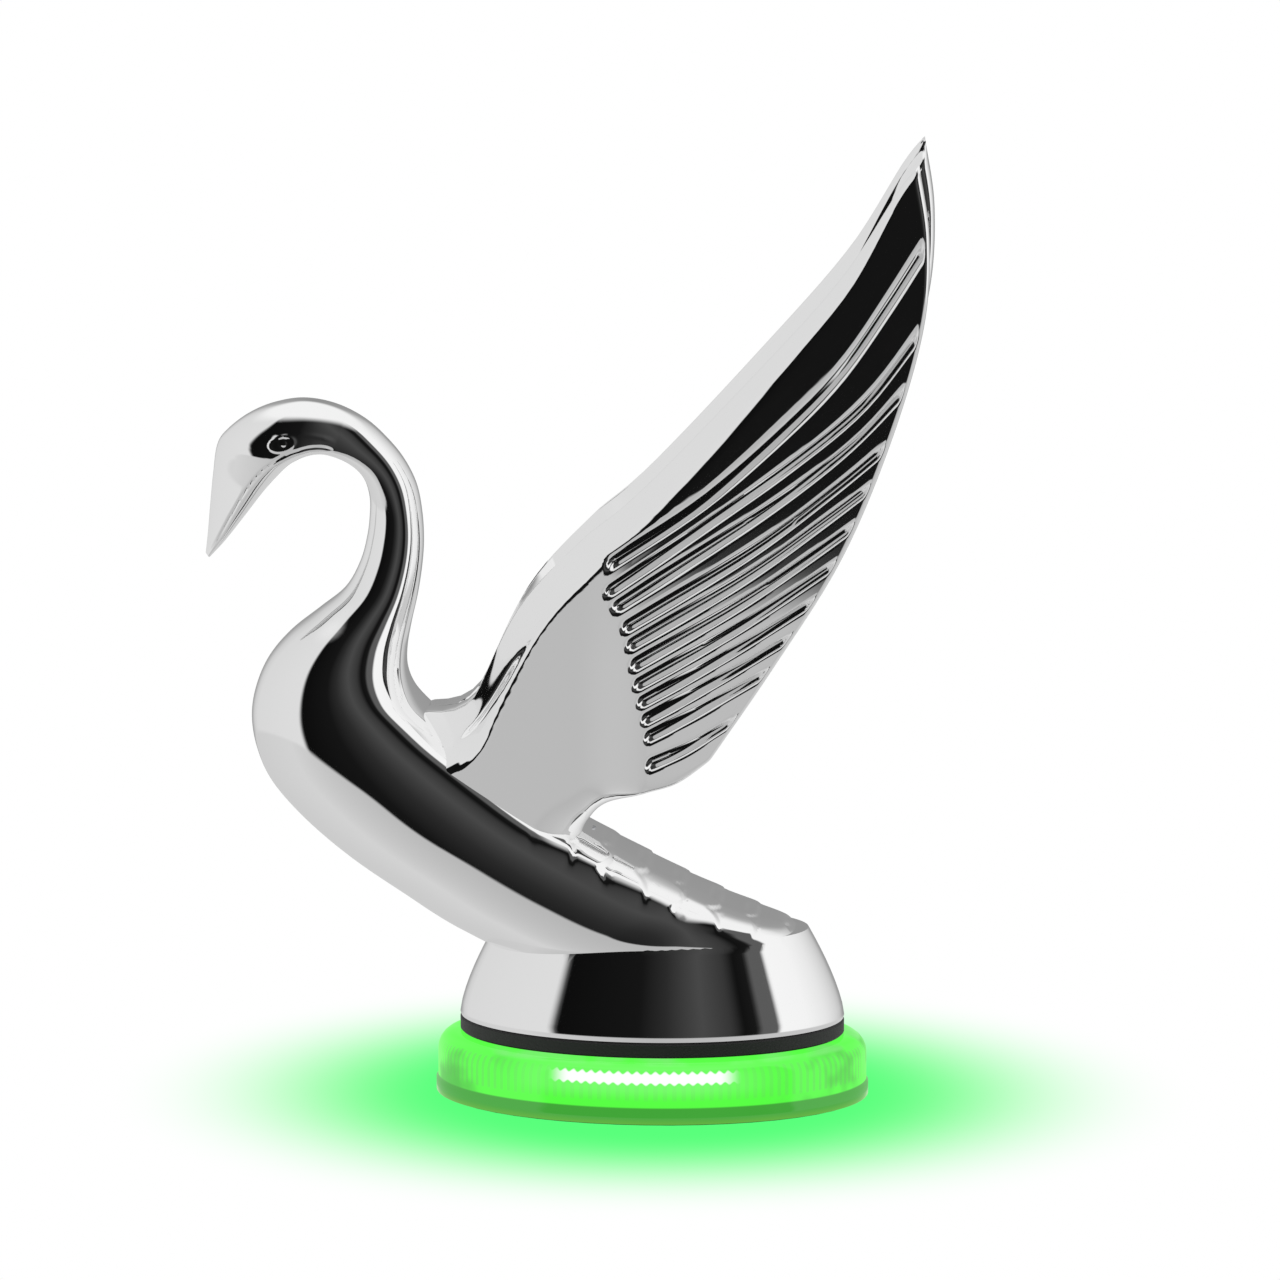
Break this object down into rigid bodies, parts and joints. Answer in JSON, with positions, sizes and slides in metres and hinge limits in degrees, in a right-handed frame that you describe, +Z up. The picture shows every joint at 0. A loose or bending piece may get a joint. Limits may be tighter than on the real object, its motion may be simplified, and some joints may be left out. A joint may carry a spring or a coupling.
{
  "type": "hood ornament",
  "caption": "Chrome swan with raised wings on an oval pedestal, over a gasket and a green lighted lens base that bolts to a hood.",
  "frame": {"origin": "centre of the flat underside of the base pad, where the ornament stands on the hood", "axes": "+Z up, the bird faces -X, +Y to its right-hand side"},
  "size_m": [0.1114, 0.0432, 0.1477],
  "materials": {
    "chrome": "mirror chrome plate on a die casting",
    "zinc_steel": "zinc-plated screws and washer",
    "brass": "turned brass inserts and terminals",
    "black_rubber": "black gasket and pad rubber",
    "green_lens": "clear green moulded acrylic, lit from inside",
    "board": "white solder-masked circuit board",
    "black_plastic": "black moulded base plate",
    "led_green": "green light-emitting diode",
    "component_black": "black chip component"
  },
  "bodies": {
    "root": {"swan_body": "chrome", "wing_pair": "chrome", "wing_screw": "zinc_steel", "wing_washer": "zinc_steel", "pedestal_gasket": "black_rubber", "lens": "green_lens", "led_board": "board", "base_plate": "black_plastic", "base_pad": "black_rubber", "wire_grommet": "black_rubber", "insert_front": "brass", "insert_rear": "brass", "diode": "component_black", "terminal_pos": "brass", "terminal_neg": "brass", "base_screw_1": "zinc_steel", "base_screw_2": "zinc_steel", "base_screw_3": "zinc_steel", "base_screw_4": "zinc_steel", "led_01": "led_green", "led_02": "led_green", "led_03": "led_green", "led_04": "led_green", "led_05": "led_green", "led_06": "led_green", "led_07": "led_green", "led_08": "led_green", "led_09": "led_green", "led_10": "led_green", "led_11": "led_green", "led_12": "led_green", "led_13": "led_green", "led_14": "led_green", "led_15": "led_green", "led_16": "led_green", "led_17": "led_green", "led_18": "led_green", "led_19": "led_green", "led_20": "led_green", "resistor_1": "component_black", "resistor_2": "component_black", "resistor_3": "component_black", "resistor_4": "component_black", "resistor_5": "component_black"}
  },
  "joints": []
}
